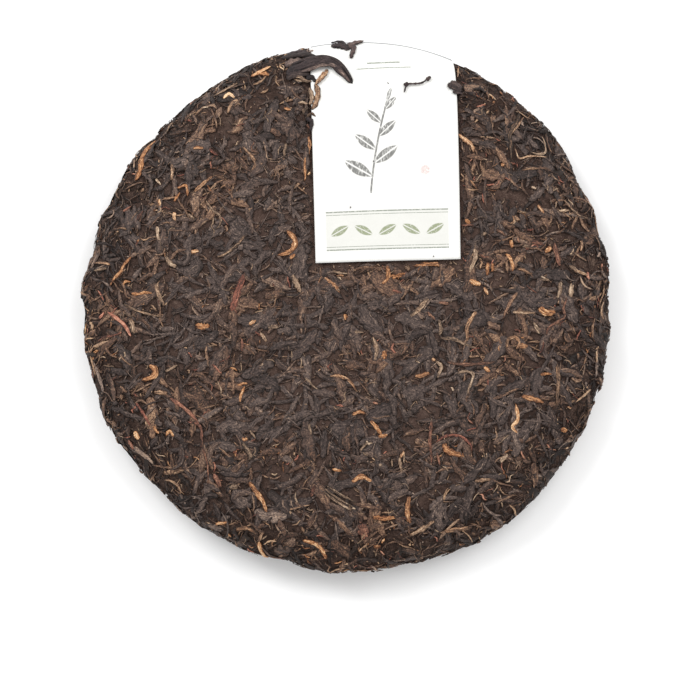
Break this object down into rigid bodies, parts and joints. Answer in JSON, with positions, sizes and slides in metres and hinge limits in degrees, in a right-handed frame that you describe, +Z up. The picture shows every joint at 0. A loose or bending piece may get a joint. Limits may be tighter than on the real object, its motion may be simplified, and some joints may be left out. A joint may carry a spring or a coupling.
{
  "type": "pu erh tea cake",
  "caption": "Round pressed cake of dark aged tea leaves with a domed face, a flat dimpled back, and a white paper ticket pressed into the face and bent over the rim.",
  "frame": {"origin": "on the surface that the cake lies on, below the middle of its bounding box", "axes": "+Z up out of the domed face, +Y towards the end of the ticket that bends over the rim, +X to the right of that"},
  "size_m": [0.1962, 0.1985, 0.0249],
  "materials": {
    "tea": "pressed dry leaf, rough, dark grey-brown",
    "paper": "matte white paper",
    "dark_leaf": "dry rolled leaf, dark purple-brown",
    "golden_stem": "dry golden-brown leaf tip"
  },
  "bodies": {
    "root": {"cake": "tea", "ticket": "paper", "leaf_arching": "dark_leaf", "leaf_at_rim": "dark_leaf", "leaf_twisted": "dark_leaf", "leaf_chip": "dark_leaf", "stem_at_corner": "golden_stem"}
  },
  "joints": []
}
